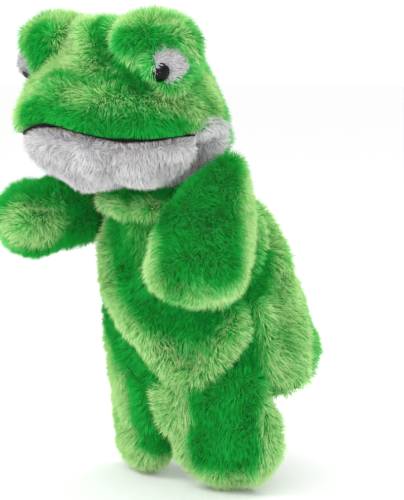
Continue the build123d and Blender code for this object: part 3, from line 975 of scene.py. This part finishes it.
degrees = np.linspace(0, 360, 181)
heights = np.arange(FRONT_HEM, body_top, 3 * MM)
skin, _, faces = tube(degrees, heights)
lining_outer = deeper(skin, faces, LINING_UNDER)
lining_inner = deeper(skin, faces, LINING_UNDER + LINING_CLOTH)
lining_piece = new_piece(
    "lining_sleeve", *cloth_between(lining_outer, lining_inner, faces), [pale_cloth]
)
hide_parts("sleeve_lining")


# ---- collar ----
NECK_FLAT = 0.87  # the neck is this much shallower than wide
COLLAR_UNDER = 6.5 * MM  # the collar's foot lies this far inside the CAD's neck
COLLAR_ROLL = 8 * MM  # the roll stands out this much
ROLL_AT, ROLL_HALF = body_top + 3 * MM, 5 * MM
COLLAR_PAINTED_LIGHT, COLLAR_PAINTED_SHADE = 1.6, -0.6  # painted light on the roll, and painted shade away from it
neck_low, neck_high = (np.array(c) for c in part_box("neck_cover"))

degrees = np.linspace(0, 360, 200)
heights = np.linspace(body_top - 10 * MM, NECK_TOP + 6 * MM, 34)
turn, up = (grid.ravel() for grid in np.meshgrid(degrees, heights))
roll = np.exp(-(((up - ROLL_AT) / ROLL_HALF) ** 2))
neck_radius = (neck_high[0] - neck_low[0]) / 2 - COLLAR_UNDER + COLLAR_ROLL * roll
neck_radius += 1.4 * MM * waves(np.stack([turn * 0.7 * MM, up, 0 * up], 1), 22 * MM, 41)
neck_radius -= 3 * MM * smooth_step(up, NECK_TOP - 2 * MM, NECK_TOP + 6 * MM)
flatten = 1 / np.hypot(np.sin(np.radians(turn)), np.cos(np.radians(turn)) / NECK_FLAT)
skin = AXIS * up[:, None] + turned(turn) * (neck_radius * flatten)[:, None]
faces = grid_faces(len(heights), len(degrees))
cloth = cloth_between(skin, deeper(skin, faces, BACKING), faces)
collar_piece = new_piece("plush_collar", *cloth, [green_backing])
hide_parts("neck_cover")
# The collar's pile gets painted light on the roll and painted shade away from it.
collar_pile = pile(
    "pile_collar", skin, faces, green_fibres, COLLAR_PILE, BODY_DENSE, down_the_body, 261,
    COLLAR_PAINTED_LIGHT * roll + COLLAR_PAINTED_SHADE,
)


# ---- stuffed limbs ----
SWELL_CAP = 7 * MM  # how far the filling may push the cloth out
SWELL_FRAMES = 20
LEG_SPREAD = 1.16  # the legs' cloth spreads sideways past the CAD
LIMB_START = 0.97  # the cloth starts this much smaller, and swells
LIMB_WAVE = 0.9 * MM
HUB_TO_ROOT = 0.3  # the skin is cast from a hub this share of the way to the limb's root
EDGE_PAINTED_LIGHT, LIMB_MIDDLE_PAINTED_SHADE = 1.9, -0.8  # painted light along a limb's edges, and painted shade between them
# The right leg: painted light except on its inner side, which keeps painted shade.
RIGHT_LEG_PAINTED_LIGHT, RIGHT_LEG_PAINTED_SHADE = 2.0, -1.0
# Painted light towards a limb's end.
END_PAINTED_LIGHT = 1.8


def swollen(points, faces):
    """The closed skin after its filling pushes it out, as a cloth simulation under pressure."""
    cloth = new_piece("swelling", points, faces, [])
    modifier = cloth.modifiers.new("Cloth", "CLOTH")
    settings = modifier.settings
    settings.quality = 6
    settings.mass = 0.2
    settings.use_pressure = True
    settings.uniform_pressure_force = 4
    settings.tension_stiffness = 12
    settings.effector_weights.gravity = 0
    modifier.point_cache.frame_start = 1
    modifier.point_cache.frame_end = SWELL_FRAMES
    for number in range(1, SWELL_FRAMES + 1):
        bpy.context.scene.frame_set(number)
    bpy.context.view_layer.update()
    result = cloth.evaluated_get(bpy.context.evaluated_depsgraph_get()).data
    after = np.zeros(len(points) * 3, np.float32)
    result.vertices.foreach_get("co", after)
    bpy.data.objects.remove(cloth)
    bpy.context.scene.frame_set(1)
    step = after.reshape(-1, 3) - points
    far = np.linalg.norm(step, axis=1, keepdims=True)
    return points + step * np.minimum(1, SWELL_CAP / np.maximum(far, 1e-9))


def hull_tree(points):
    """The convex skin round the points, as a tree for casting rays."""
    mesh = bmesh.new()
    for point in points:
        mesh.verts.new(point)
    bmesh.ops.convex_hull(mesh, input=mesh.verts)
    tree = BVHTree.FromBMesh(mesh)
    mesh.free()
    return tree


def on_body(side, turns, heights, inset):
    """Places on the sleeve, this far under the CAD's outer face, on the left or the right."""
    grids = np.meshgrid(np.array(turns, float) * side, np.array(heights) * MM)
    turn, up = (grid.ravel() for grid in grids)
    ways = turned(turn)
    starts = AXIS * up[:, None] + body_set_back
    return starts + ways * (outer_distance(body_tree, starts, ways) - inset)[:, None]


def limb(kind, side, root, lines, seed):
    """A stuffed limb: a skin round the CAD limb and its root on the sleeve, swollen, creased,
    and covered with pile."""
    node, joint = f"{kind}_cover_{side}", JOINTS[f"{kind}_{side}_swing"]
    points = np.array([v.co for v in frame["nodes"][node].data.vertices])
    middle = points.mean(0)
    ways, faces = ball(6)
    edges = edges_of(faces)
    hub = (1 - HUB_TO_ROOT) * middle + HUB_TO_ROOT * root.mean(0)
    hull = hull_tree(np.concatenate([points, root]))
    away = outer_distance(hull, np.tile(hub, (len(ways), 1)), ways)
    away = filled(away, edges, np.nanmean(away)) - PILE
    start = hub + ways * (away * LIMB_START)[:, None]
    skin = swollen(rounded(start, edges, 4), faces.tolist())
    skin = rounded(skin, edges, 3)
    if kind == "leg":
        skin[:, 0] = middle[0] + LEG_SPREAD * (skin[:, 0] - middle[0])
    across = -np.array(joint["axis"])
    along = unit(middle - np.array(joint["pos_m"]))
    along = unit(along - across * (along @ across))
    facing = np.cross(across, along)
    if facing[1] > 0:
        facing = -facing
    axes = np.array([across, along, facing])
    half = np.abs((points - middle) @ axes.T).max(0) - PILE
    shape = [
        (middle + np.array(line) * half @ axes, width * MM, rise * MM, shade)
        for line, width, rise, shade in lines
    ]
    rise, tint = folded(skin, shape)
    rise += LIMB_WAVE * waves(skin, 24 * MM, seed)
    skin = skin + normals_of(skin, faces) * rise[:, None]
    wide, long, _ = ((skin - middle) @ axes.T / half).T
    # The tint adds painted light and shade: on the folds, along the edges and towards the end.
    if (kind, side) == ("leg", "right"):
        outer = smooth_step((middle - skin)[:, 0] / half[0], -0.95, -0.35)
        tint += RIGHT_LEG_PAINTED_LIGHT * outer + RIGHT_LEG_PAINTED_SHADE
    else:
        tint += EDGE_PAINTED_LIGHT * smooth_step(np.abs(wide), 0.50, 0.92) + LIMB_MIDDLE_PAINTED_SHADE
    tint += END_PAINTED_LIGHT * smooth_step(long, 0.25, 0.80)
    piece = new_piece(f"plush_{kind}_{side}", skin, faces, [green_backing])
    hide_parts(node, f"{kind}_stuffing_{side}")
    hang = unit(along + [0, 0, -0.3])
    tufts = pile(
        f"pile_{kind}_{side}", skin, faces, green_fibres, LIMB_PILE, BODY_DENSE,
        lambda p: np.tile(hang, (len(p), 1)), seed + 10, tint,
    )
    return piece, tufts


# Folds of the limbs: places as shares of the half width, length and depth, then width, height
# and tint, which is painted light above 0 and painted shade below 0.
ARM_LINES = [
    ([(-0.42, 1.05, 0.4), (-0.42, 0.72, 0.85), (-0.38, 0.45, 1.0)], 3.2, -5.5, -1.5),
    ([(-0.25, 0.95, 0.6), (0.3, 0.98, 0.5)], 6, 1.5, 0.4),
    ([(0.93, -0.5, 0.2), (0.86, 0.0, 0.5), (0.93, 0.6, 0.2)], 3.5, -1.8, 0.7),
    ([(-0.5, -0.6, 0.8), (-0.2, -0.2, 1.0), (0.2, 0.2, 1.0)], 12, 1.5, -0.5),
]
LEG_LINES = [
    ([(0.0, 0.3, 1.0), (0.1, -0.4, 1.0)], 14, 1.0, -0.55),
    ([(-0.9, 0.2, 0.0), (-0.5, 0.9, 0.2), (0.2, 1.0, 0.1), (0.8, 0.7, 0.0)], 5, 0.8, 0.5),
]
# Places on the limb's side, back and up from the mouth's hinge, in millimetres.
SHOULDER_TOPS = np.array([(52, 34, -8), (40, 54, -10), (66, 30, -14), (66, 10, -20), (60, -4, -24)])
SHOULDER_DROP = {"left": 0, "right": 8}  # the right shoulder lies lower, in millimetres
limbs = {}
for side, sign in (("left", 1), ("right", -1)):
    shoulder = on_body(sign, (58, 78, 98, 116), (98, 117), 3 * MM)
    tops = SHOULDER_TOPS * [sign, 1, 1] - [0, 0, SHOULDER_DROP[side]]
    shoulder = np.concatenate([shoulder, HINGE + tops * MM])
    hip = on_body(sign, (3, 20, 38, 56, 73), (20, 28), 0.0)
    hip = np.concatenate([hip, hip - AXIS * 14 * MM])
    limbs["arm", side] = limb("arm", side, shoulder, ARM_LINES, 301 + sign)
    limbs["leg", side] = limb("leg", side, hip, LEG_LINES, 361 + sign)


# ---- bodies: pieces attached to their bodies, the rest baked in place ----
for piece, plush in (
    (head_piece, "green_plush"), (head_pile, "green_plush"),
    (eye_white_pile, "white_plush"), (cheek_pile, "white_plush"),
):
    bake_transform(piece)
for piece in lower_skins["chin"]:
    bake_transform(piece)
for piece in lower_skins["nape"]:
    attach(piece, "head_base")
for piece in (collar_piece, collar_pile):
    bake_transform(piece)
for pieces in panels.values():
    for piece in pieces:
        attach(piece, "sleeve")
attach(lining_piece, "sleeve")
for (kind, side), (piece, tufts) in limbs.items():
    for each in (piece, tufts):
        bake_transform(each)


# ---- studio ----
WORLD_LIGHT = 1.05
PAPER_HALF = 8.0  # metres
FLOOR_DROP = 1 * MM
LAMPS = [  # name, place from the object's middle, power in watts, size in metres
    ("key", (-0.75, -0.95, 1.15), 12, 0.8),
    ("fill", (1.2, -0.9, 0.5), 4, 1.2),
    ("rim", (-0.1, 1.1, 1.0), 8, 0.9),
]
AZIMUTH, ELEVATION = radians(45), radians(7)
CAMERA_AWAY = 1.0
AIM_SHIFT = Vector((0.0228, 0.0103, -0.0015))  # from the object's middle to the camera's aim


def studio():
    """White surroundings, white floor, three lamps and the camera."""
    scene = bpy.context.scene
    scene.view_settings.view_transform = "Standard"
    low, high = cad_box
    world = bpy.data.worlds.new("studio")
    world.use_nodes = True
    background = world.node_tree.nodes["Background"]
    background.inputs["Color"].default_value = (1, 1, 1, 1)
    background.inputs["Strength"].default_value = WORLD_LIGHT
    scene.world = world

    paper, tree, shader = principled("floor_paper", (0.93, 0.93, 0.93, 1), 0.9)
    rough_between(tree, shader, noise(tree, 40), 0.8, 0.95)
    level = low.z - FLOOR_DROP
    corners = [(x * PAPER_HALF, y * PAPER_HALF, level) for x, y in ((-1, -1), (1, -1), (1, 1), (-1, 1))]
    new_piece("floor", corners, [(0, 1, 2, 3)], [paper])

    middle = (low + high) / 2
    for name, place, power, size in LAMPS:
        lamp = bpy.data.lights.new(name, "AREA")
        lamp.energy, lamp.size = power, size
        light = placed(name, lamp)
        light.location = middle + Vector(place)
        light.rotation_euler = (middle - light.location).to_track_quat("-Z", "Y").to_euler()

    level_share = cos(ELEVATION)
    back = Vector((sin(AZIMUTH) * level_share, -cos(AZIMUTH) * level_share, sin(ELEVATION)))
    lens = bpy.data.cameras.new("camera")
    lens.lens, lens.sensor_width = 120, 36
    camera = placed("camera", lens)
    camera.location = middle + AIM_SHIFT + back * CAMERA_AWAY
    camera.rotation_euler = (-back).to_track_quat("-Z", "Y").to_euler()
    scene.camera = camera


studio()
